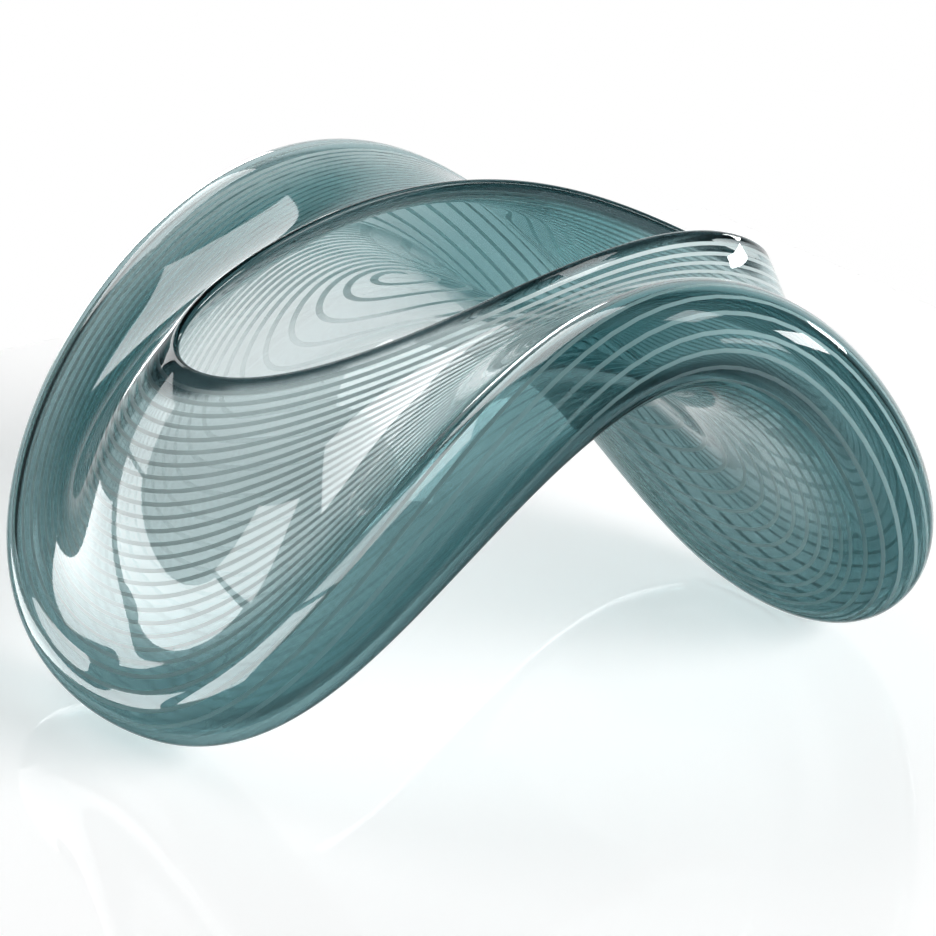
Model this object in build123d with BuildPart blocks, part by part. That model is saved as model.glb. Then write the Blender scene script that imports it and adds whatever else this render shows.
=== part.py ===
"""Blown glass wave sculpture: a flattened hollow bubble, folded into an arch and wound with a thread.

X runs along the arch from the left foot to the right foot, Y to the back and Z up, in millimetres.
The floor is Z = 0, and the sculpture rests on the lowest points of its two lobes.
"""
from build123d import *
import os
from bisect import bisect
from functools import cache
from itertools import accumulate
from math import cos, pi, sin, tau

os.makedirs("parts", exist_ok=True)

# Glass wall and the hollow roll that forms the rim
WALL = 4.5
ROLL_RADIUS = 20.5
FOOT_FLAT_DEPTH = 0.15

# Centre line of the roll seen from above: an egg-shaped loop
RIM_HALF_LENGTH = 153.4
RIM_HALF_WIDTH = 142.3
RIM_SQUARENESS = 2.27
RIM_CENTRE_X = 1.6
RIM_CENTRE_Y = 5.5
RIM_LEAN_X = -10.9
RIM_SKEW_X = 3.1
RIM_BLUNT_X = -9.3
RIM_SWAY_Y = 6.5
RIM_SKEW_Y = 6.6
RIM_BLUNT_Y = 7.8

# Height of the roll's centre line: high at the front and back, low at the two feet
RIM_MEAN_Z = 91.5
RIM_ARCH_Z = 76.3
RIM_TIP_Z = 2.3
RIM_FLARE_Z = 6.7
RIM_BACK_Z = -2.7
RIM_TWIST_Z = 13.8
RIM_CURL_Z = 4.9

# Fire-polished lip round the long mouth on top
LIP_HALF_LENGTH = 139.5
LIP_HALF_WIDTH = 53.7
LIP_CENTRE_X = 13.1
LIP_CENTRE_Y = 11.1
LIP_LEAN_X = -4.1
LIP_MEAN_Z = 165.3
LIP_ARCH_Z = 17.1
LIP_TIP_Z = 1.1
LIP_CURL_Z = -4.7
LIP_BACK_Z = 3.1
LIP_TWIST_Z = -4.8
COLLAR_INWARD_TILT = 0.47
LEFT_COLLAR_INWARD_TILT = 1.1

# Crown of the arch, where the bubble came off the pontil rod, on the underside
CROWN_X = -1.0
CROWN_Y = 5.5
CROWN_Z = 145.0

# How the wall leaves the crown, the roll and the lip, as shares of the distance to the other end
CROWN_PULL = 0.45
ROLL_PULL_BELOW = 0.20
ROLL_PULL_ABOVE = 0.11
LEFT_ROLL_PULL_ABOVE = 0.20
LIP_PULL = 0.28
LEFT_LIP_PULL = 0.50
LEFT_END_SHARPNESS = 4
GUIDE_REACH = 0.80
GUIDE_DROP = 0.507

# Pale thread that winds once unbroken from the crown over the roll to the lip
THREAD_WIDTH = 1.6
THREAD_HEIGHT = 0.2
THREAD_SEAT_GAP = 0.15
UNDERSIDE_TURNS = 9
ROLL_TURNS = 4
TOPSIDE_TURNS = 11
FIRST_TURN_SHARE = 0.06
LIP_BARE_SHARE = 0.04

# Sampling of the curves
POINTS_ROUND_A_RING = 48
RINGS_PER_STRETCH = 10
SAMPLES_PER_MERIDIAN = 40
FOOT_SEARCH_STEPS = 24
SMALL_STEP = 0.001
CROWN_FLAT_LEVEL = 0.03
LIP_RUN_LEVEL = 0.02

CROWN = Vector(CROWN_X, CROWN_Y, CROWN_Z)
UP = Vector(0, 0, 1)


def rim_centre(angle):
    """Centre of the hollow roll at an angle round the bubble, counted from the right foot to the back."""
    across, along = sin(angle), cos(angle)
    reach = (abs(along) ** RIM_SQUARENESS + abs(across) ** RIM_SQUARENESS) ** (-1 / RIM_SQUARENESS)
    x = RIM_CENTRE_X + RIM_HALF_LENGTH * reach * along + RIM_LEAN_X * reach * across
    x += RIM_SKEW_X * sin(2 * angle) + RIM_BLUNT_X * cos(3 * angle)
    y = RIM_CENTRE_Y + RIM_HALF_WIDTH * reach * across + RIM_SWAY_Y * cos(2 * angle)
    y += RIM_SKEW_Y * sin(2 * angle) + RIM_BLUNT_Y * sin(3 * angle)
    z = RIM_MEAN_Z - RIM_ARCH_Z * cos(2 * angle) + RIM_TIP_Z * along + RIM_BACK_Z * across
    z += RIM_FLARE_Z * cos(4 * angle) + RIM_TWIST_Z * sin(2 * angle) + RIM_CURL_Z * sin(3 * angle)
    return Vector(x, y, z)


def lip_edge(angle):
    """Outer edge of the lip at an angle round the mouth."""
    across, along = sin(angle), cos(angle)
    x = LIP_CENTRE_X + LIP_HALF_LENGTH * along + LIP_LEAN_X * across
    y = LIP_CENTRE_Y + LIP_HALF_WIDTH * across
    z = LIP_MEAN_Z - LIP_ARCH_Z * cos(2 * angle) + LIP_TIP_Z * along + LIP_CURL_Z * cos(3 * angle)
    z += LIP_BACK_Z * across + LIP_TWIST_Z * sin(2 * angle)
    return Vector(x, y, z)


def roll_axes(angle):
    """Centre of the roll, its outward and upward directions, and the level direction from the crown."""
    centre = rim_centre(angle)
    run = (rim_centre(angle + SMALL_STEP) - rim_centre(angle - SMALL_STEP)).normalized()
    level = Vector(centre.X - CROWN.X, centre.Y - CROWN.Y, 0)
    outward = level * (1 - GUIDE_REACH) + UP * ((centre.Z - CROWN.Z) * (1 - GUIDE_DROP))
    outward = (outward - run * outward.dot(run)).normalized()
    upward = outward.cross(run).normalized()
    return centre, outward, upward, level.normalized()


def bezier(start, start_pull, end_pull, end, share):
    """Point on a cubic curve between two ends."""
    rest = 1 - share
    near = start * rest ** 3 + start_pull * (3 * rest * rest * share)
    return near + end_pull * (3 * rest * share * share) + end * share ** 3


def blown_skin(angle, level):
    """Outside of the glass as blown: level 0 to 1 is the underside, 1 to 2 the roll, 2 to 3 the top."""
    centre, outward, upward, radial = roll_axes(angle)
    if level <= 1:
        seam = centre - upward * ROLL_RADIUS
        span = (seam - CROWN).length
        crown_pull = CROWN + radial * (CROWN_PULL * span)
        return bezier(CROWN, crown_pull, seam - outward * (ROLL_PULL_BELOW * span), seam, level)
    if level < 2:
        round_roll = pi * (level - 1.5)
        return centre + outward * (ROLL_RADIUS * cos(round_roll)) + upward * (ROLL_RADIUS * sin(round_roll))
    seam = centre + upward * ROLL_RADIUS
    edge = lip_edge(angle)
    span = (edge - seam).length
    leftness = ((1 - cos(angle)) / 2) ** LEFT_END_SHARPNESS
    tilt = COLLAR_INWARD_TILT + (LEFT_COLLAR_INWARD_TILT - COLLAR_INWARD_TILT) * leftness
    lip_share = LIP_PULL + (LEFT_LIP_PULL - LIP_PULL) * leftness
    roll_share = ROLL_PULL_ABOVE + (LEFT_ROLL_PULL_ABOVE - ROLL_PULL_ABOVE) * leftness
    lip_pull = edge - (UP - radial * tilt).normalized() * (lip_share * span)
    roll_pull = seam - outward * (roll_share * span)
    return bezier(seam, roll_pull, lip_pull, edge, level - 2)


def lowest_place(foot_angle):
    """Angle and level of the lowest point of the roll within a quarter turn round one foot."""
    places = []
    for step in range(-FOOT_SEARCH_STEPS, FOOT_SEARCH_STEPS + 1):
        angle = foot_angle + step * pi / (4 * FOOT_SEARCH_STEPS)
        places += [(angle, 1 + part / FOOT_SEARCH_STEPS) for part in range(FOOT_SEARCH_STEPS + 1)]
    return min(places, key=lambda place: blown_skin(*place).Z)


# The finished bubble is set down level on both lobes, and each is ground flat by the same depth
RIGHT_FOOT = lowest_place(0)
LEFT_FOOT = lowest_place(pi)
RIGHT_LOW = blown_skin(*RIGHT_FOOT)
LEFT_LOW = blown_skin(*LEFT_FOOT)
TILT = (RIGHT_LOW.Z - LEFT_LOW.Z) / (RIGHT_LOW.X - LEFT_LOW.X)


def skin(angle, level):
    """Outside of the glass, standing on the floor."""
    point = blown_skin(angle, level)
    floor = LEFT_LOW.Z + TILT * (point.X - LEFT_LOW.X) + FOOT_FLAT_DEPTH
    return point - UP * floor


def skin_normal(angle, level):
    """Direction out of the glass at a place on its outside."""
    place = min(max(level, CROWN_FLAT_LEVEL), 3 - SMALL_STEP)
    round_step = skin(angle + SMALL_STEP, place) - skin(angle - SMALL_STEP, place)
    up_step = skin(angle, place + SMALL_STEP) - skin(angle, place - SMALL_STEP)
    return round_step.cross(up_step).normalized()


def bore(angle, level):
    """Inside of the glass, one wall in from its outside."""
    inward = -UP if level == 0 else skin_normal(angle, level)
    return skin(angle, level) - inward * WALL


def lip_crest(angle, level):
    """Top of the rounded lip, half a wall in and half a wall past the edge."""
    onward = (skin(angle, level) - skin(angle, level - LIP_RUN_LEVEL)).normalized()
    return skin(angle, level) - skin_normal(angle, level) * (WALL / 2) + onward * (WALL / 2)


def ring(surface, level):
    """Closed smooth ring round a surface at one level."""
    points = [surface(tau * step / POINTS_ROUND_A_RING, level) for step in range(POINTS_ROUND_A_RING)]
    return Wire([Edge.make_spline(points, periodic=True, parameters=list(range(POINTS_ROUND_A_RING + 1)))])


# Glass body
# Smooth lofts run up the outside from the crown, over the roll to the lip, and back down the inside.
# They are sewn into one closed solid, and the two lobes are ground flat where they stand.
def stretch(surface, first_level):
    """Rings over one stretch of a surface, up from its first level, which at level 0 is the crown."""
    levels = [first_level + step / RINGS_PER_STRETCH for step in range(1, RINGS_PER_STRETCH + 1)]
    rings = [ring(surface, level) for level in levels]
    start = Vertex(*surface(0, 0)) if first_level == 0 else ring(surface, first_level)
    return [start, *rings]


glass_stretches = [stretch(surface, level) for surface in (skin, bore) for level in range(3)]
glass_stretches.append([ring(skin, 3), ring(lip_crest, 3), ring(bore, 3)])
glass_faces = []
for rings in glass_stretches:
    glass_faces += Shell.make_loft(rings).faces()

with BuildPart() as glass_body:
    add(Solid(Shell(glass_faces)))
    with Locations((0, 0, -FOOT_FLAT_DEPTH)):
        Box(4 * RIM_HALF_LENGTH, 4 * RIM_HALF_WIDTH, 2 * FOOT_FLAT_DEPTH, mode=Mode.SUBTRACT)
glass_body.part.label = "glass_body"
export_step(glass_body.part, "parts/glass_body.step")


# Thread
# One pale thread of glass is wound from the crown outwards, over the roll and in to the lip.
# It lies as a thin flat line on the outside of the glass, in one unbroken length.
@cache
def meridian_lengths(angle, first_level):
    """Length along one stretch of a meridian up to each of its samples."""
    levels = [first_level + step / SAMPLES_PER_MERIDIAN for step in range(SAMPLES_PER_MERIDIAN + 1)]
    points = [skin(angle, level) for level in levels]
    return list(accumulate(((far - near).length for near, far in zip(points, points[1:])), initial=0.0))


def level_at(angle, first_level, share):
    """Level at a share of the length of one stretch of a meridian."""
    lengths = meridian_lengths(angle, first_level)
    wanted = share * lengths[-1]
    step = min(bisect(lengths, wanted), SAMPLES_PER_MERIDIAN) - 1
    part = (wanted - lengths[step]) / (lengths[step + 1] - lengths[step])
    return first_level + (step + part) / SAMPLES_PER_MERIDIAN


def foot_shift(foot):
    """Share of the roll by which its thread moves over so that a foot stands between two turns."""
    angle, level = foot
    turns_up = (level - 1) * ROLL_TURNS - angle / tau - 0.5
    return (turns_up - round(turns_up)) / ROLL_TURNS


RIGHT_SHIFT = foot_shift(RIGHT_FOOT)
LEFT_SHIFT = foot_shift(LEFT_FOOT)


def roll_level(angle, share):
    """Level of the thread on the roll; it weaves a little to clear the two feet."""
    towards_right = (1 + cos(angle - RIGHT_FOOT[0])) / 2
    weave = RIGHT_SHIFT * towards_right + LEFT_SHIFT * (1 - towards_right)
    return 1 + share + weave * sin(pi * share)


def thread_level(angle, turn):
    """Level of the thread after a number of turns, from just off the crown to just under the lip."""
    if turn < UNDERSIDE_TURNS:
        return level_at(angle, 0, FIRST_TURN_SHARE + (1 - FIRST_TURN_SHARE) * turn / UNDERSIDE_TURNS)
    turn -= UNDERSIDE_TURNS
    if turn < ROLL_TURNS:
        return roll_level(angle, turn / ROLL_TURNS)
    return level_at(angle, 2, (1 - LIP_BARE_SHARE) * (turn - ROLL_TURNS) / TOPSIDE_TURNS)


def thread_section(angle, level):
    """Four corners of the thread's flat section, just clear of the glass."""
    out = skin_normal(angle, level)
    run = skin(angle + SMALL_STEP, level) - skin(angle - SMALL_STEP, level)
    side = out.cross(run).normalized() * (THREAD_WIDTH / 2)
    seat = skin(angle, level) + out * THREAD_SEAT_GAP
    crest = seat + out * THREAD_HEIGHT
    return [seat - side, seat + side, crest + side, crest - side]


thread_turns = UNDERSIDE_TURNS + ROLL_TURNS + TOPSIDE_TURNS
thread_sections = []
for thread_step in range(thread_turns * POINTS_ROUND_A_RING + 1):
    thread_angle = tau * (thread_step % POINTS_ROUND_A_RING) / POINTS_ROUND_A_RING
    thread_turn = thread_step / POINTS_ROUND_A_RING
    thread_sections.append(thread_section(thread_angle, thread_level(thread_angle, thread_turn)))

turn_gaps = []
for inner_section, outer_section in zip(thread_sections, thread_sections[POINTS_ROUND_A_RING:]):
    turn_gaps.append((outer_section[0] - inner_section[0]).length - THREAD_WIDTH)
print("thread: least gap between turns", round(min(turn_gaps), 2), "mm")


def corner_run(step, corner):
    """How far one corner of the thread moves in one step along it."""
    before = max(step - 1, 0)
    after = min(step + 1, len(thread_sections) - 1)
    return (thread_sections[after][corner] - thread_sections[before][corner]) * (1 / (after - before))


def thread_patch(first, last):
    """Four long faces of the thread between two of its steps."""
    edges = []
    for corner in range(4):
        points = [section[corner] for section in thread_sections[first : last + 1]]
        runs = [corner_run(first, corner), corner_run(last, corner)]
        steps = list(range(len(points)))
        edges.append(Edge.make_spline(points, tangents=runs, parameters=steps, scale=False))
    return [Face.make_surface_from_curves(edges[side], edges[(side + 1) % 4]) for side in range(4)]


thread_ends = (thread_sections[0], thread_sections[-1])
thread_faces = [Face(Wire.make_polygon(section, close=True)) for section in thread_ends]
patch_steps = POINTS_ROUND_A_RING // 2
patch_ends = [*range(0, len(thread_sections) - 1, patch_steps), len(thread_sections) - 1]
for first_step, last_step in zip(patch_ends, patch_ends[1:]):
    thread_faces += thread_patch(first_step, last_step)

with BuildPart() as thread:
    add(Solid(Shell(thread_faces)))
thread.part.label = "thread"
export_step(thread.part, "parts/thread.step")

for piece in (glass_body, thread):
    print(piece.part.label, "valid", piece.part.is_valid, "volume", round(piece.part.volume))
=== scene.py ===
import bpy
import numpy as np
from math import pi, radians, tau
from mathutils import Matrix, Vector


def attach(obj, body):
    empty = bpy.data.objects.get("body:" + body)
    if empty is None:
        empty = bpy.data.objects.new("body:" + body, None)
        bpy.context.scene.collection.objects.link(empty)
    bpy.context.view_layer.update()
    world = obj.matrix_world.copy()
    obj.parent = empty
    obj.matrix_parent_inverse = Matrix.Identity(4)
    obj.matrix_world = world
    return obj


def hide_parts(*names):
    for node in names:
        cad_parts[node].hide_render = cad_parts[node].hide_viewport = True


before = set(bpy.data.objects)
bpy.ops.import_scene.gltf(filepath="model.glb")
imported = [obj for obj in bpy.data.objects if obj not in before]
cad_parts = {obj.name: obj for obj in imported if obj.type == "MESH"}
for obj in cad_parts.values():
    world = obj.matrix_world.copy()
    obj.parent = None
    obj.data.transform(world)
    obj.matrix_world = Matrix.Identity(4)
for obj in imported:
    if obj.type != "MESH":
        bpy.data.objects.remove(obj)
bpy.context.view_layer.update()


# Glass body
# A bubble of clear grey-teal glass, blown hollow, flattened and folded over into an arch while hot.
# Its mouth was drawn out long on the top and fire-polished into a rounded lip, and its edge is a fat
# hollow roll. It stands on the lowest points of its two lobes.
MM = 0.001
WALL = 4.5 * MM
ROLL_RADIUS = 20.5 * MM
FOOT_FLAT_DEPTH = 0.15 * MM
RIM_HALF_LENGTH = 153.4 * MM
RIM_HALF_WIDTH = 142.3 * MM
RIM_SQUARENESS = 2.27
RIM_CENTRE_X = 1.6 * MM
RIM_CENTRE_Y = 5.5 * MM
RIM_LEAN_X = -10.9 * MM
RIM_SKEW_X = 3.1 * MM
RIM_BLUNT_X = -9.3 * MM
RIM_SWAY_Y = 6.5 * MM
RIM_SKEW_Y = 6.6 * MM
RIM_BLUNT_Y = 7.8 * MM
RIM_MEAN_Z = 91.5 * MM
RIM_ARCH_Z = 76.3 * MM
RIM_TIP_Z = 2.3 * MM
RIM_FLARE_Z = 6.7 * MM
RIM_BACK_Z = -2.7 * MM
RIM_TWIST_Z = 13.8 * MM
RIM_CURL_Z = 4.9 * MM
LIP_HALF_LENGTH = 139.5 * MM
LIP_HALF_WIDTH = 53.7 * MM
LIP_CENTRE_X = 13.1 * MM
LIP_CENTRE_Y = 11.1 * MM
LIP_LEAN_X = -4.1 * MM
LIP_MEAN_Z = 165.3 * MM
LIP_ARCH_Z = 17.1 * MM
LIP_TIP_Z = 1.1 * MM
LIP_CURL_Z = -4.7 * MM
LIP_BACK_Z = 3.1 * MM
LIP_TWIST_Z = -4.8 * MM
COLLAR_INWARD_TILT = 0.47
LEFT_COLLAR_INWARD_TILT = 1.1
CROWN = np.array([-1.0, 5.5, 145.0]) * MM
CROWN_PULL = 0.45
ROLL_PULL_BELOW = 0.20
ROLL_PULL_ABOVE = 0.11
LEFT_ROLL_PULL_ABOVE = 0.20
LIP_PULL = 0.28
LEFT_LIP_PULL = 0.50
LEFT_END_SHARPNESS = 4
GUIDE_REACH = 0.80
GUIDE_DROP = 0.507
UP = np.array([0.0, 0.0, 1.0])
SMALL_STEP = 0.001
CROWN_FLAT_LEVEL = 0.03
LIP_RUN_LEVEL = 0.02


def unit(vectors):
    return vectors / np.linalg.norm(vectors, axis=-1, keepdims=True)


def rim_centre(angle):
    """Centre of the hollow roll at each angle round the bubble, from the right foot to the back."""
    across = np.sin(angle)
    along = np.cos(angle)
    reach = (abs(along) ** RIM_SQUARENESS + abs(across) ** RIM_SQUARENESS) ** (-1 / RIM_SQUARENESS)
    x = RIM_CENTRE_X + RIM_HALF_LENGTH * reach * along + RIM_LEAN_X * reach * across
    x += RIM_SKEW_X * np.sin(2 * angle) + RIM_BLUNT_X * np.cos(3 * angle)
    y = RIM_CENTRE_Y + RIM_HALF_WIDTH * reach * across + RIM_SWAY_Y * np.cos(2 * angle)
    y += RIM_SKEW_Y * np.sin(2 * angle) + RIM_BLUNT_Y * np.sin(3 * angle)
    z = RIM_MEAN_Z - RIM_ARCH_Z * np.cos(2 * angle) + RIM_TIP_Z * along + RIM_BACK_Z * across
    z += RIM_FLARE_Z * np.cos(4 * angle) + RIM_TWIST_Z * np.sin(2 * angle)
    z += RIM_CURL_Z * np.sin(3 * angle)
    return np.stack([x, y, z], axis=-1)


def lip_edge(angle):
    """Outer edge of the lip at each angle round the mouth."""
    across = np.sin(angle)
    along = np.cos(angle)
    x = LIP_CENTRE_X + LIP_HALF_LENGTH * along + LIP_LEAN_X * across
    y = LIP_CENTRE_Y + LIP_HALF_WIDTH * across
    z = LIP_MEAN_Z - LIP_ARCH_Z * np.cos(2 * angle) + LIP_TIP_Z * along + LIP_CURL_Z * np.cos(3 * angle)
    z += LIP_BACK_Z * across + LIP_TWIST_Z * np.sin(2 * angle)
    return np.stack([x, y, z], axis=-1)


def bezier(start, start_pull, end_pull, end, share):
    """Point on a cubic curve between two ends."""
    rest = 1 - share
    near = start * rest ** 3 + start_pull * (3 * rest ** 2 * share)
    return near + end_pull * (3 * rest * share ** 2) + end * share ** 3


def blown_skin(angle, level):
    """Outside of the glass as blown: level 0 to 1 is the underside, 1 to 2 the roll, 2 to 3 the top."""
    angle, level = np.broadcast_arrays(np.asarray(angle, float), np.asarray(level, float))
    centre = rim_centre(angle)
    run = unit(rim_centre(angle + SMALL_STEP) - rim_centre(angle - SMALL_STEP))
    flat = (centre - CROWN) * [1, 1, 0]
    outward = flat * (1 - GUIDE_REACH) + UP * (centre - CROWN)[..., 2:] * (1 - GUIDE_DROP)
    outward = unit(outward - run * np.sum(outward * run, axis=-1, keepdims=True))
    upward = unit(np.cross(outward, run))
    radial = unit(flat)
    share = level[..., None]
    low_seam = centre - upward * ROLL_RADIUS
    span = np.linalg.norm(low_seam - CROWN, axis=-1, keepdims=True)
    low_pull = low_seam - outward * ROLL_PULL_BELOW * span
    below = bezier(CROWN, CROWN + radial * CROWN_PULL * span, low_pull, low_seam, np.clip(share, 0, 1))
    turn = pi * (np.clip(share, 1, 2) - 1.5)
    roll = centre + outward * ROLL_RADIUS * np.cos(turn) + upward * ROLL_RADIUS * np.sin(turn)
    high_seam = centre + upward * ROLL_RADIUS
    edge = lip_edge(angle)
    span = np.linalg.norm(edge - high_seam, axis=-1, keepdims=True)
    leftness = ((1 - np.cos(angle[..., None])) / 2) ** LEFT_END_SHARPNESS
    tilt = COLLAR_INWARD_TILT + (LEFT_COLLAR_INWARD_TILT - COLLAR_INWARD_TILT) * leftness
    lip_share = LIP_PULL + (LEFT_LIP_PULL - LIP_PULL) * leftness
    roll_share = ROLL_PULL_ABOVE + (LEFT_ROLL_PULL_ABOVE - ROLL_PULL_ABOVE) * leftness
    lip_pull = edge - unit(UP - radial * tilt) * lip_share * span
    high_pull = high_seam - outward * roll_share * span
    above = bezier(high_seam, high_pull, lip_pull, edge, np.clip(share - 2, 0, 1))
    return np.where(share <= 1, below, np.where(share < 2, roll, above))


def lowest_place(foot_angle, steps=24):
    """Angle and level of the lowest point of the roll within a quarter turn round one foot."""
    near_angles = foot_angle + np.linspace(-pi / 4, pi / 4, 2 * steps + 1)
    angle, level = np.meshgrid(near_angles, np.linspace(1, 2, steps + 1), indexing="ij")
    lowest = np.argmin(blown_skin(angle, level)[..., 2])
    return angle.flat[lowest], level.flat[lowest]


RIGHT_FOOT = lowest_place(0)
LEFT_FOOT = lowest_place(pi)
RIGHT_LOW = blown_skin(*RIGHT_FOOT)
LEFT_LOW = blown_skin(*LEFT_FOOT)
TILT = (RIGHT_LOW[2] - LEFT_LOW[2]) / (RIGHT_LOW[0] - LEFT_LOW[0])


def skin(angle, level):
    """Outside of the glass, standing on the floor."""
    points = blown_skin(angle, level)
    floor_height = LEFT_LOW[2] + TILT * (points[..., 0] - LEFT_LOW[0]) + FOOT_FLAT_DEPTH
    return points - UP * floor_height[..., None]


def skin_normal(angle, level):
    """Direction out of the glass at each place on its outside."""
    place = np.clip(level, CROWN_FLAT_LEVEL, 3 - SMALL_STEP)
    round_step = skin(angle + SMALL_STEP, place) - skin(angle - SMALL_STEP, place)
    up_step = skin(angle, place + SMALL_STEP) - skin(angle, place - SMALL_STEP)
    return unit(np.cross(round_step, up_step))


def wall_point(angle, level, depth):
    """Point inside the wall, a depth in from its outside."""
    outward = np.where(np.asarray(level)[..., None] == 0, -UP, skin_normal(angle, level))
    return skin(angle, level) - outward * depth


def lip_point(angle, turn):
    """Point on the rounded lip, which turns half a circle from the outside to the inside."""
    level = np.full_like(angle, 3.0)
    onward = unit(skin(angle, level) - skin(angle, level - LIP_RUN_LEVEL))
    out = skin_normal(angle, level)
    middle = skin(angle, level) - out * (WALL / 2)
    return middle + (out * np.cos(turn) + onward * np.sin(turn)) * (WALL / 2)


GLASS_MERIDIANS = 288
UNDERSIDE_RINGS = 48
ROLL_RINGS = 36
TOPSIDE_RINGS = 46
LIP_RINGS = 8
outside_levels = np.concatenate([
    np.linspace(0, 1, UNDERSIDE_RINGS + 1)[:-1],
    np.linspace(1, 2, ROLL_RINGS + 1)[:-1],
    np.linspace(2, 3, TOPSIDE_RINGS + 1),
])
lip_turns = np.linspace(0, pi, LIP_RINGS + 1)[1:-1]
outside_count = len(outside_levels)
ring_count = 2 * outside_count + len(lip_turns)

bpy.ops.object.select_all(action="DESELECT")
bpy.ops.mesh.primitive_uv_sphere_add(segments=GLASS_MERIDIANS, ring_count=ring_count - 1, radius=1)
glass_body = bpy.context.object
glass_body.name = "blown_glass"
bubble = np.empty(3 * len(glass_body.data.vertices))
glass_body.data.vertices.foreach_get("co", bubble)
bubble = bubble.reshape(-1, 3)
bubble_angle = np.arctan2(bubble[:, 1], bubble[:, 0])
bubble_ring = np.rint((np.arcsin(np.clip(bubble[:, 2], -1, 1)) / pi + 0.5) * (ring_count - 1)).astype(int)
ring_levels = np.concatenate([outside_levels, np.full(len(lip_turns), 3.0), outside_levels[::-1]])
bubble_level = ring_levels[bubble_ring]
on_outside = bubble_ring < outside_count
on_inside = bubble_ring >= outside_count + len(lip_turns)
on_lip = ~on_outside & ~on_inside
lip_turn = lip_turns[bubble_ring[on_lip] - outside_count][:, None]
bubble[on_outside] = skin(bubble_angle[on_outside], bubble_level[on_outside])
bubble[on_lip] = lip_point(bubble_angle[on_lip], lip_turn)
bubble[on_inside] = wall_point(bubble_angle[on_inside], bubble_level[on_inside], WALL)
bubble[:, 2] = np.maximum(bubble[:, 2], 0)
glass_body.data.vertices.foreach_set("co", bubble.ravel())
glass_body.data.update()


def ease(share):
    """Smooth step from 0 to 1."""
    share = np.clip(share, 0, 1)
    return share ** 2 * (3 - 2 * share)


# The tint is deep in the roll, on the right lobe and in the collar at the back: fuller glass there, and
# painted shade.
# The left lobe was blown out thin and pale. The lip and the front's lower edge carry dark bands of
# painted shade.
SIDE_SHARPNESS = 1.3
SIDE_SHIFT = 0.3
RIGHT_LOBE_DEPTH_AND_SHADE = 0.6
CROWN_THIN_LEVEL = 0.45
BACK_COLLAR_DEPTH_AND_SHADE = 1.1
ROLL_DEPTH_AND_SHADE = 0.72
ROLL_FRONT_DEPTH_AND_SHADE = 0.26
BACK_RIGHT_DEPTH_AND_SHADE = 0.5
BACK_RIGHT_ANGLE = radians(52)
BACK_RIGHT_REACH = radians(40)
ROLL_MIDDLE_LEVEL = 1.5
UNDERSIDE_BLEND_LEVEL = 0.7
UNDERSIDE_BLEND = 0.3
TOPSIDE_BLEND_LEVEL = 2.4
TOPSIDE_BLEND = 0.4
FRONT_SHARPNESS = 1.5
FRONT_SHIFT = 0.2
EDGE_LEFT_SHARPNESS = 1.2
EDGE_BAND_LEVEL = 1.17
EDGE_BAND_REACH = 0.19
LIP_BAND_LEVEL = 2.90
LIP_BAND_FRONT_SHIFT = 0.06
LIP_BAND_BLEND = 0.04
# Painted shade together with thickness: the roll, the right lobe's underside and the back collar get a
# deeper tint.
rightness = ease(np.cos(bubble_angle) * SIDE_SHARPNESS - SIDE_SHIFT)
backness = ease(np.sin(bubble_angle) * SIDE_SHARPNESS)
underside_thickness_and_shade = RIGHT_LOBE_DEPTH_AND_SHADE * rightness * ease(bubble_level / CROWN_THIN_LEVEL)
topside_thickness_and_shade = BACK_COLLAR_DEPTH_AND_SHADE * backness
back_right = ease(1 - abs(bubble_angle - BACK_RIGHT_ANGLE) / BACK_RIGHT_REACH)
roll_thickness_and_shade = ROLL_DEPTH_AND_SHADE - ROLL_FRONT_DEPTH_AND_SHADE * np.sin(bubble_angle) + BACK_RIGHT_DEPTH_AND_SHADE * back_right
below_middle = bubble_level < ROLL_MIDDLE_LEVEL
towards_roll = np.where(
    below_middle,
    ease((bubble_level - UNDERSIDE_BLEND_LEVEL) / UNDERSIDE_BLEND),
    ease((TOPSIDE_BLEND_LEVEL - bubble_level) / TOPSIDE_BLEND),
)
away_thickness_and_shade = np.where(below_middle, underside_thickness_and_shade, topside_thickness_and_shade)
thickness_and_shade = away_thickness_and_shade + (roll_thickness_and_shade - away_thickness_and_shade) * towards_roll
# Painted shade: a dark band along the front's lower edge and another round the lip, kept in the attribute
# "edge".
frontness = ease(FRONT_SHIFT - np.sin(bubble_angle) * FRONT_SHARPNESS)
leftwards = ease(1 - EDGE_LEFT_SHARPNESS * np.cos(bubble_angle))
front_edge_shade = frontness * leftwards * ease(1 - abs(bubble_level - EDGE_BAND_LEVEL) / EDGE_BAND_REACH)
lip_shade = ease((bubble_level - LIP_BAND_LEVEL - LIP_BAND_FRONT_SHIFT * frontness) / LIP_BAND_BLEND)
edge = np.maximum(front_edge_shade, lip_shade)
glass_body.data.attributes.new("thickness_and_shade", "FLOAT", "POINT").data.foreach_set("value", thickness_and_shade)
glass_body.data.attributes.new("edge", "FLOAT", "POINT").data.foreach_set("value", edge)
bpy.ops.object.shade_smooth()


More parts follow.
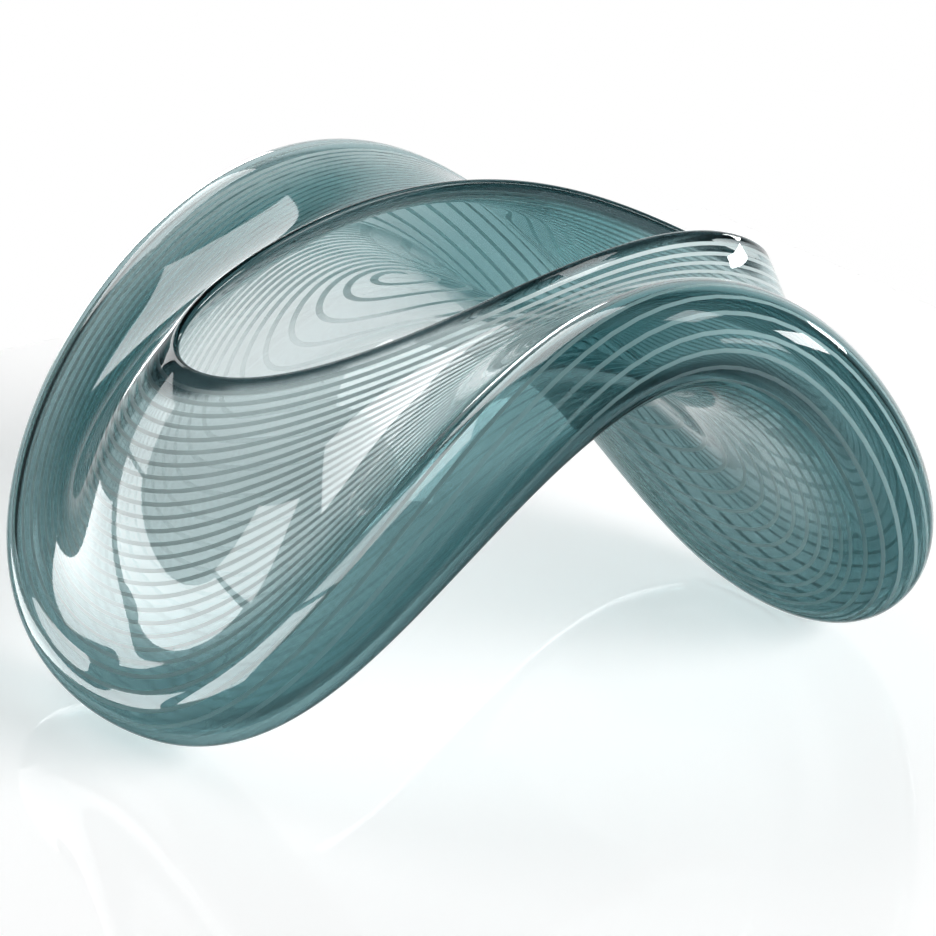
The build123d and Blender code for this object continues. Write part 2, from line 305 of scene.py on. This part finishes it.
class Shade:
    """A shader socket that takes part in plain arithmetic, and the tree that its nodes go into."""

    def __init__(self, tree, socket=None):
        self.tree = tree
        self.socket = socket

    def node(self, kind, settings=None, output=0, **inputs):
        """Adds a node, sets it up and fills its inputs, each named by its label or its number."""
        made = self.tree.nodes.new(kind)
        for name, value in (settings or {}).items():
            setattr(made, name, value)
        for name, value in inputs.items():
            slot = made.inputs[int(name[1:]) if name[1:].isdigit() else name.replace("_", " ")]
            if isinstance(value, Shade):
                self.tree.links.new(value.socket, slot)
            else:
                slot.default_value = value
        return Shade(self.tree, made.outputs[output])

    def maths(self, operation, first, second):
        return self.node("ShaderNodeMath", {"operation": operation}, i0=first, i1=second)

    def __add__(self, other):
        return self.maths("ADD", self, other)

    def __mul__(self, other):
        return self.maths("MULTIPLY", self, other)

    __radd__ = __add__
    __rmul__ = __mul__


def new_material(name):
    """An empty material with its output node."""
    material = bpy.data.materials.new(name)
    material.use_nodes = True
    material.node_tree.nodes.clear()
    return material, Shade(material.node_tree)


def show(shade, surface, volume=None):
    """Joins a surface, and what fills it, to the material's output."""
    output = shade.tree.nodes.new("ShaderNodeOutputMaterial")
    shade.tree.links.new(surface.socket, output.inputs["Surface"])
    if volume:
        shade.tree.links.new(volume.socket, output.inputs["Volume"])


GLASS_IOR = 1.5
GLASS_TINT = (0.12, 0.46, 0.485, 1)
GLASS_TINT_DENSITY = 52
THIN_TINT = (1, 1, 1, 1)
# Deepest tint, standing for thick glass and painted shade together.
DEEP_TINT_AND_SHADE = (0.24, 0.41, 0.43, 1)
# Near-black colour of the painted shade bands.
PAINTED_EDGE_SHADE = (0.07, 0.105, 0.115, 1)
SHADOW_TINT = (0.93, 0.95, 0.95, 1)
RIPPLE_SCALE = 26.0
RIPPLE_HEIGHT = 2 * MM
RIPPLE_STRENGTH = 0.05
SEED_SCALE = 62.0
SEED_CORE = 0.02
SEED_RIM = 0.045
SEED_HEIGHT = 6
glass_material, shade = new_material("teal_blown_glass")
place = shade.node("ShaderNodeTexCoord", output="Object")
sway = shade.node("ShaderNodeTexNoise", Vector=place, Scale=RIPPLE_SCALE, Detail=1.0)
seed_middle = shade.node("ShaderNodeTexVoronoi", Vector=place, Scale=SEED_SCALE)
seed = shade.node(
    "ShaderNodeMapRange", {"interpolation_type": "SMOOTHSTEP"},
    Value=seed_middle, i1=SEED_CORE, i2=SEED_RIM, i3=1.0, i4=0.0,
)
ripple = shade.node(
    "ShaderNodeBump", Strength=RIPPLE_STRENGTH, Distance=RIPPLE_HEIGHT, Height=sway + seed * SEED_HEIGHT,
)
# Thickness and painted shade, read from the mesh, deepen the glass colour.
full = shade.node("ShaderNodeAttribute", {"attribute_name": "thickness_and_shade"}, output="Fac")
tint_with_shade = shade.node(
    "ShaderNodeMix", {"data_type": "RGBA", "clamp_factor": False}, output=2,
    i0=full, i6=THIN_TINT, i7=DEEP_TINT_AND_SHADE,
)
# The painted shade bands darken the glass colour towards near black.
edge_shade_share = shade.node("ShaderNodeAttribute", {"attribute_name": "edge"}, output="Fac")
glass_colour_and_shade = shade.node(
    "ShaderNodeMix", {"data_type": "RGBA"}, output=2, i0=edge_shade_share, i6=tint_with_shade, i7=PAINTED_EDGE_SHADE,
)
clear_glass = shade.node(
    "ShaderNodeBsdfPrincipled", Base_Color=glass_colour_and_shade, Roughness=0.0, IOR=GLASS_IOR,
    Transmission_Weight=1.0, Normal=ripple,
)
lamp_ray = shade.node("ShaderNodeLightPath", output="Is Shadow Ray")
open_to_lamps = shade.node("ShaderNodeBsdfTransparent", Color=SHADOW_TINT)
glass_surface = shade.node("ShaderNodeMixShader", i0=lamp_ray, i1=clear_glass, i2=open_to_lamps)
tint = shade.node("ShaderNodeVolumeAbsorption", Color=GLASS_TINT, Density=GLASS_TINT_DENSITY)
show(shade, glass_surface, tint)
glass_body.data.materials.append(glass_material)
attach(glass_body, "root")
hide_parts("glass_body")


# Thread
# One thread of pale opal glass, trailed on to the hot bubble and marvered flush into its skin.
# It starts thick at the pontil mark underneath, thins as the bubble was stretched, and winds unbroken
# over the roll and in to the lip. It is faintest where the left lobe was stretched most.
THREAD_WIDTH = 1.7 * MM
PONTIL_THREAD_WIDTH = 3.6 * MM
THREAD_HEIGHT = 0.25 * MM
THREAD_DEPTH = 0.15 * MM
PONTIL_LEVEL = 0.40
PONTIL_ANGLE = radians(80)
UNDERSIDE_TURNS = 20
ROLL_TURNS = 9
TOPSIDE_TURNS = 23
PONTIL_SPREAD = 1.35
LIP_BARE_SHARE = 0.03
STEPS_ROUND_A_TURN = 120
PONTIL_START_TURN = 0.3
LEFT_FADE = 0.92
LEFT_FADE_LEVEL = 1.9
LEFT_FADE_BLEND = 0.4
RIGHT_FADE = 0.4
RIGHT_FADE_LEVEL = 2
RIGHT_FADE_BLEND = 0.2
THREAD_EDGE_ANGLE = radians(40)
SAMPLES_PER_MERIDIAN = 60
turn_angles = tau * np.arange(STEPS_ROUND_A_TURN) / STEPS_ROUND_A_TURN
sample_levels = np.linspace(0, 1, SAMPLES_PER_MERIDIAN + 1)
pontil_spot = PONTIL_LEVEL * np.array([np.cos(PONTIL_ANGLE), np.sin(PONTIL_ANGLE)])


def underside_place(angle, share):
    """Angle and level of the thread on the underside, a share of the way from pontil mark to roll."""
    across = pontil_spot[0] * (1 - share) + np.cos(angle) * share
    along = pontil_spot[1] * (1 - share) + np.sin(angle) * share
    return np.arctan2(along, across), np.hypot(across, along)


topside_points = skin(turn_angles[:, None], 2 + sample_levels[None, :])
topside_steps = np.linalg.norm(np.diff(topside_points, axis=1), axis=-1)
topside_lengths = np.zeros((STEPS_ROUND_A_TURN, SAMPLES_PER_MERIDIAN + 1))
topside_lengths[:, 1:] = np.cumsum(topside_steps, axis=1)


def thread_place(step):
    """Angle, level and width of the thread after a number of steps, from the pontil mark to the lip."""
    turn = step / STEPS_ROUND_A_TURN
    meridian = step % STEPS_ROUND_A_TURN
    angle = turn_angles[meridian]
    if turn < UNDERSIDE_TURNS:
        share = (turn + PONTIL_START_TURN) / (UNDERSIDE_TURNS + PONTIL_START_TURN)
        share *= PONTIL_SPREAD - (PONTIL_SPREAD - 1) * share
        width = THREAD_WIDTH + (PONTIL_THREAD_WIDTH - THREAD_WIDTH) * (1 - share) ** 2
        return *underside_place(angle, share), width
    if turn < UNDERSIDE_TURNS + ROLL_TURNS:
        return angle, 1 + (turn - UNDERSIDE_TURNS) / ROLL_TURNS, THREAD_WIDTH
    lengths = topside_lengths[meridian]
    share = (1 - LIP_BARE_SHARE) * (turn - UNDERSIDE_TURNS - ROLL_TURNS) / TOPSIDE_TURNS
    return angle, 2 + np.interp(share * lengths[-1], lengths, sample_levels), THREAD_WIDTH


thread_steps = (UNDERSIDE_TURNS + ROLL_TURNS + TOPSIDE_TURNS) * STEPS_ROUND_A_TURN
thread_places = np.array([thread_place(step) for step in range(thread_steps + 1)])
thread_angle, thread_levels, thread_widths = thread_places.T
thread_out = skin_normal(thread_angle, thread_levels)
thread_middle = skin(thread_angle, thread_levels) - thread_out * THREAD_DEPTH
thread_run = unit(np.gradient(thread_middle, axis=0))
thread_side = unit(np.cross(thread_out, thread_run)) * (thread_widths[:, None] / 2)

bpy.ops.object.select_all(action="DESELECT")
bpy.ops.mesh.primitive_grid_add(x_subdivisions=thread_steps, y_subdivisions=2, size=1)
thread = bpy.context.object
thread.name = "pale_thread"
strip = np.empty(3 * len(thread.data.vertices))
thread.data.vertices.foreach_get("co", strip)
strip = strip.reshape(-1, 3)
strip_step = np.rint((strip[:, 0] + 0.5) * thread_steps).astype(int)
strip_across = strip[:, 1:2] * 2
strip = thread_middle[strip_step] + thread_side[strip_step] * strip_across
thread.data.vertices.foreach_set("co", strip.ravel())
thread.data.update()
thread_left = ease(SIDE_SHIFT - np.cos(thread_angle) * SIDE_SHARPNESS)
thread_low = ease((LEFT_FADE_LEVEL - thread_levels) / LEFT_FADE_BLEND)
thread_right = ease(np.cos(thread_angle) * SIDE_SHARPNESS - SIDE_SHIFT)
thread_high = ease((thread_levels - RIGHT_FADE_LEVEL) / RIGHT_FADE_BLEND)
thread_body = 1 - LEFT_FADE * thread_left * thread_low - RIGHT_FADE * thread_right * thread_high
thread.data.attributes.new("body", "FLOAT", "POINT").data.foreach_set("value", thread_body[strip_step])
solidify = thread.modifiers.new("thread_height", "SOLIDIFY")
solidify.thickness = THREAD_HEIGHT
solidify.offset = -1
bpy.ops.object.modifier_apply(modifier=solidify.name)
bpy.ops.object.shade_smooth_by_angle(angle=THREAD_EDGE_ANGLE)

DULL_THREAD = (0.78, 0.84, 0.84, 1)
PALE_THREAD = (0.90, 0.94, 0.94, 1)
THREAD_GLOW = (0.88, 0.92, 0.92, 1)
THREAD_GLOW_SHARE = 0.52
THREAD_STREAK_SCALE = 60.0
THREAD_ROUGHNESS = 0.35
THREAD_GLOSS = 0.1
thread_material, shade = new_material("pale_thread_glass")
place = shade.node("ShaderNodeTexCoord", output="Object")
streak = shade.node("ShaderNodeTexNoise", Vector=place, Scale=THREAD_STREAK_SCALE, Detail=2.0)
paleness = shade.node(
    "ShaderNodeMix", {"data_type": "RGBA"}, output=2, i0=streak, i6=DULL_THREAD, i7=PALE_THREAD,
)
pale_face = shade.node(
    "ShaderNodeBsdfPrincipled", Base_Color=paleness, Roughness=THREAD_ROUGHNESS,
    Specular_IOR_Level=THREAD_GLOSS,
)
pale_glow = shade.node("ShaderNodeBsdfTranslucent", Color=THREAD_GLOW)
pale_glass = shade.node("ShaderNodeMixShader", i0=THREAD_GLOW_SHARE, i1=pale_face, i2=pale_glow)
body = shade.node("ShaderNodeAttribute", {"attribute_name": "body"}, output="Fac")
thinned = shade.node("ShaderNodeBsdfTransparent", Color=(1, 1, 1, 1))
thread_surface = shade.node("ShaderNodeMixShader", i0=body, i1=thinned, i2=pale_glass)
show(shade, thread_surface)
thread.data.materials.append(thread_material)
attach(thread, "root")
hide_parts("thread")


# Studio
# A square table of white acrylic that glows a little, a white backdrop behind it, and softboxes that the
# camera doesn't see. The rest of the room is dim, as it is round a glass on a set. The lights fall on the
# table and the thread. The cards show only as reflections, some from below the table, which is left out
# of reflections because it would veil the glass.
TABLE_SIZE = 0.9
TABLE_WHITE = (0.9, 0.9, 0.9, 1)
TABLE_ROUGHNESS = 0.03
TABLE_GLOSS = 0.12
TABLE_GLOW = 0.45
bpy.ops.mesh.primitive_plane_add(size=TABLE_SIZE, location=(0, 0, 0))
floor = bpy.context.object
floor.name = "studio_floor"
floor_material, shade = new_material("white_acrylic_table")
white_table = shade.node(
    "ShaderNodeBsdfPrincipled", Base_Color=TABLE_WHITE, Roughness=TABLE_ROUGHNESS,
    Specular_IOR_Level=TABLE_GLOSS, Emission_Color=(1, 1, 1, 1), Emission_Strength=TABLE_GLOW,
)
show(shade, white_table)
floor.data.materials.append(floor_material)
floor.visible_glossy = False

BACKDROP_LIGHT = 1.0
ROOM_LIGHT = 0.03
BACKDROP_DIRECTION = (0.55, 0.835, 0)
BACKDROP_EDGE = 0.7
BACKDROP_FULL = 0.92
world = bpy.data.worlds.new("studio")
bpy.context.scene.world = world
world.use_nodes = True
world.node_tree.nodes.clear()
shade = Shade(world.node_tree)
seen = shade.node("ShaderNodeLightPath", output="Is Camera Ray")
look = shade.node("ShaderNodeTexCoord", output="Generated")
behind = shade.node(
    "ShaderNodeVectorMath", {"operation": "DOT_PRODUCT"}, output=1, i0=look, i1=BACKDROP_DIRECTION,
)
backdrop = shade.node(
    "ShaderNodeMapRange", {"interpolation_type": "SMOOTHSTEP"},
    Value=behind, i1=BACKDROP_EDGE, i2=BACKDROP_FULL,
)
room_level = backdrop * (BACKDROP_LIGHT - ROOM_LIGHT) + ROOM_LIGHT
room = shade.node("ShaderNodeBackground", Color=(1, 1, 1, 1), Strength=room_level)
white = shade.node("ShaderNodeBackground", Color=(1, 1, 1, 1), Strength=1.0)
studio_light = shade.node("ShaderNodeMixShader", i0=seen, i1=room, i2=white)
world_output = world.node_tree.nodes.new("ShaderNodeOutputWorld")
world.node_tree.links.new(studio_light.socket, world_output.inputs["Surface"])


LAMP_DISTANCE = 10.0
SCULPTURE_MIDDLE = Vector((0, 0, 0.09))


def softbox(name, azimuth, elevation, wide, tall, brightness):
    """A rectangular lamp that faces the sculpture, given by its direction and size in degrees."""
    lamp = bpy.data.lights.new(name, "AREA")
    lamp.shape = "RECTANGLE"
    lamp.size = 2 * LAMP_DISTANCE * np.tan(radians(wide) / 2)
    lamp.size_y = 2 * LAMP_DISTANCE * np.tan(radians(tall) / 2)
    lamp.energy = brightness * pi * lamp.size * lamp.size_y
    holder = bpy.data.objects.new(name, lamp)
    bpy.context.collection.objects.link(holder)
    turn = radians(azimuth)
    rise = radians(elevation)
    away = Vector((np.sin(turn) * np.cos(rise), -np.cos(turn) * np.cos(rise), np.sin(rise)))
    holder.location = away * LAMP_DISTANCE + SCULPTURE_MIDDLE
    holder.rotation_euler = away.to_track_quat("Z", "Y").to_euler()
    holder.visible_camera = False
    holder.visible_transmission = False
    return holder


lights = [
    softbox("key_light", 30, 20, 28, 28, 16),
    softbox("top_light", -150, 60, 28, 28, 1.5),
]
for light in lights:
    light.visible_glossy = False
cards = [
    softbox("left_window_low", -147.5, -17.5, 24, 17, 5.5),
    softbox("left_window_middle", -120.5, -7, 21, 30, 7),
    softbox("left_window_high", -120, 26, 26, 32, 5.5),
    softbox("back_panel_high", -173, 44, 33, 36, 5.5),
    softbox("back_panel_low", 163.5, 2, 17, 21, 8),
    softbox("right_strip_near", 61.5, 11, 19, 10, 16),
    softbox("right_strip_far", 99.5, 10, 7, 10, 16),
    softbox("front_card_high", 38.5, 47, 14, 22, 5),
    softbox("front_card_low", 34, -4, 12, 8, 5),
]
for card in cards:
    card.visible_diffuse = False

CAMERA_AZIMUTH = -33.3865
CAMERA_ELEVATION = 21.2739
CAMERA_PLACE = (-0.8160, -1.2394, 0.6714)
CAMERA_LENS = 150.77
CAMERA_SHIFT = (-0.0024, -0.0169)
camera_data = bpy.data.cameras.new("camera")
camera_data.sensor_width = 36
camera_data.lens = CAMERA_LENS
camera_data.shift_x, camera_data.shift_y = CAMERA_SHIFT
camera = bpy.data.objects.new("camera", camera_data)
bpy.context.collection.objects.link(camera)
camera.location = CAMERA_PLACE
camera.rotation_euler = (radians(90 - CAMERA_ELEVATION), 0, radians(CAMERA_AZIMUTH))
bpy.context.scene.camera = camera

LIGHT_BOUNCES = 24
bpy.context.scene.view_settings.view_transform = "Standard"
bpy.context.scene.cycles.max_bounces = LIGHT_BOUNCES
bpy.context.scene.cycles.transmission_bounces = LIGHT_BOUNCES
bpy.context.scene.cycles.transparent_max_bounces = LIGHT_BOUNCES
